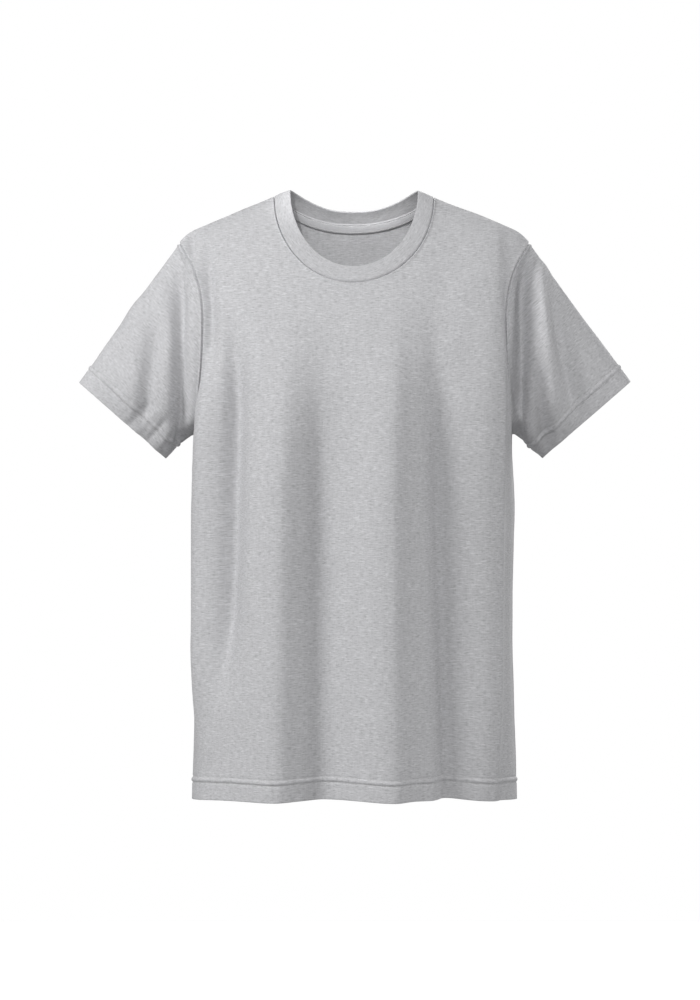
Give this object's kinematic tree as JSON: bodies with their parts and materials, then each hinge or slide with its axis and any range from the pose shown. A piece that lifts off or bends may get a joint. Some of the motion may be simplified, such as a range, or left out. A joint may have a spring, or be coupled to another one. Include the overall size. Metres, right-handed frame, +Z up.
{
  "type": "crew neck t-shirt",
  "caption": "Short-sleeved crew neck T-shirt in heather jersey, filled out and hollow as when worn, with a ribbed neckband, a taped back neck and stitched hems.",
  "frame": {"origin": "centre of the neck opening, level with the two neck points where the shoulder seams meet the neckband: there the shirt hangs on its wearer's shoulders", "axes": "+Z up the shirt, +Y towards its back (the front faces -Y), +X towards the wearer's left"},
  "size_m": [0.665, 0.2399, 0.7332],
  "materials": {
    "jersey": "light heather grey single jersey, soft and matt",
    "rib": "heather grey rib knit, folded double",
    "tape": "light grey twill tape"
  },
  "bodies": {
    "root": {"front": "jersey", "back": "jersey", "sleeve_right": "jersey", "sleeve_left": "jersey", "neckband": "rib", "neck_tape": "tape"}
  },
  "joints": []
}
